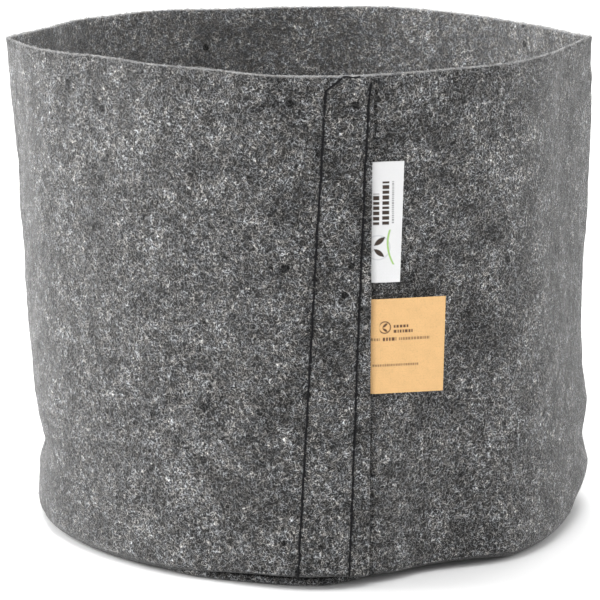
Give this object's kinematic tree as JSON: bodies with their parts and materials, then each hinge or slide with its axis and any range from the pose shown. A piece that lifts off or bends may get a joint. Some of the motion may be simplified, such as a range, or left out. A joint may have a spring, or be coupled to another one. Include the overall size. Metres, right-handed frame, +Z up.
{
  "type": "fabric grow bag",
  "caption": "Round felt grow bag with an open top, a lapped and stitched side seam, a sewn-in felt base and two sewn-in labels.",
  "frame": {"origin": "centre of the base's underside, on the bag's axis", "axes": "+Z up along the bag's axis; -Y towards the lapped side seam; +X to the right as one faces the seam"},
  "size_m": [0.254, 0.2567, 0.217],
  "materials": {
    "felt": "matte",
    "thread": "satin",
    "woven_label": "satin",
    "card": "matte"
  },
  "bodies": {
    "bag": {"wall_panel": "felt", "base_disc": "felt", "side_seam_row_1_needle_thread": "thread", "side_seam_row_1_bobbin_thread": "thread", "side_seam_row_2_needle_thread": "thread", "side_seam_row_2_bobbin_thread": "thread", "base_seam_needle_thread": "thread", "base_seam_bobbin_thread": "thread", "woven_label_tab": "woven_label", "card_label_tab": "card"},
    "woven_label": {"woven_label_flap": "woven_label"},
    "card_label": {"card_label_flap": "card"}
  },
  "joints": [
    {"name": "woven_label_bend", "type": "hinge", "parent": "bag", "child": "woven_label", "pos_m": [0.02985, -0.12401, 0.1555], "axis": [0, 0, -1], "range_deg": [0, 120], "stiffness_Nm_per_rad": 0.001},
    {"name": "card_label_bend", "type": "hinge", "parent": "bag", "child": "card_label", "pos_m": [0.02984, -0.12396, 0.1035], "axis": [0, 0, -1], "range_deg": [0, 120], "stiffness_Nm_per_rad": 0.0015}
  ]
}
